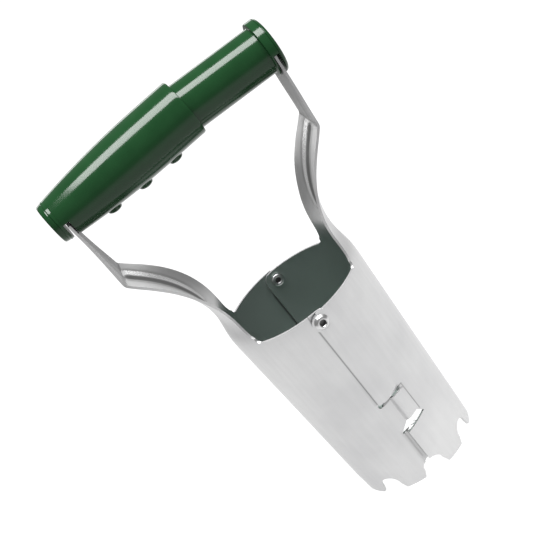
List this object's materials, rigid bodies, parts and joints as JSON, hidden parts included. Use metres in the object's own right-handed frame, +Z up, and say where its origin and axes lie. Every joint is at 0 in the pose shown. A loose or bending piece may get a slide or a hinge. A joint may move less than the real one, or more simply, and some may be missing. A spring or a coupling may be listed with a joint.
{
  "type": "bulb planter",
  "caption": "Hand bulb planter: two toothed half barrels on one rivet line, opened by squeezing a telescoping handle.",
  "frame": {"origin": "on the barrel's axis at the height of the tooth tips, which is the middle of the underside", "axes": "+X along the handle towards the sliding tube's flange, -Y towards the front seam with its rivet and lock tab, +Z up from the teeth to the handle"},
  "size_m": [0.1296, 0.079, 0.2261],
  "materials": {
    "zinc_steel": "bright zinc plate",
    "rivet_steel": "polished",
    "green_plastic": "glossy",
    "spring_steel": "bright drawn wire"
  },
  "bodies": {
    "left_half": {"left_shell": "zinc_steel", "front_rivet": "rivet_steel", "rear_rivet": "rivet_steel"},
    "right_half": {"right_shell": "zinc_steel"},
    "sleeve": {"grip_sleeve": "green_plastic", "sleeve_end_cap": "green_plastic", "return_spring": "spring_steel"},
    "tube": {"grip_tube": "green_plastic", "tube_end_cap": "green_plastic"}
  },
  "joints": [
    {"name": "barrel_hinge", "type": "hinge", "parent": "left_half", "child": "right_half", "pos_m": [0, 0, 0.1037], "axis": [0, -1, 0], "range_deg": [0, 15], "stiffness_Nm_per_rad": 2, "springref_deg": -8.59, "deforming": ["return_spring"]},
    {"name": "sleeve_pivot", "type": "hinge", "parent": "left_half", "child": "sleeve", "pos_m": [-0.0596, 0, 0.209], "axis": [0, -1, 0], "range_deg": [0, 5.5]},
    {"name": "tube_pivot", "type": "hinge", "parent": "right_half", "child": "tube", "pos_m": [0.0596, 0, 0.209], "axis": [0, -1, 0], "range_deg": [-4.7, 0]}
  ],
  "couplings": [
    {"joint": "sleeve_pivot", "follows": "barrel_hinge", "ratio": 0.365},
    {"joint": "tube_pivot", "follows": "barrel_hinge", "ratio": -0.308}
  ]
}
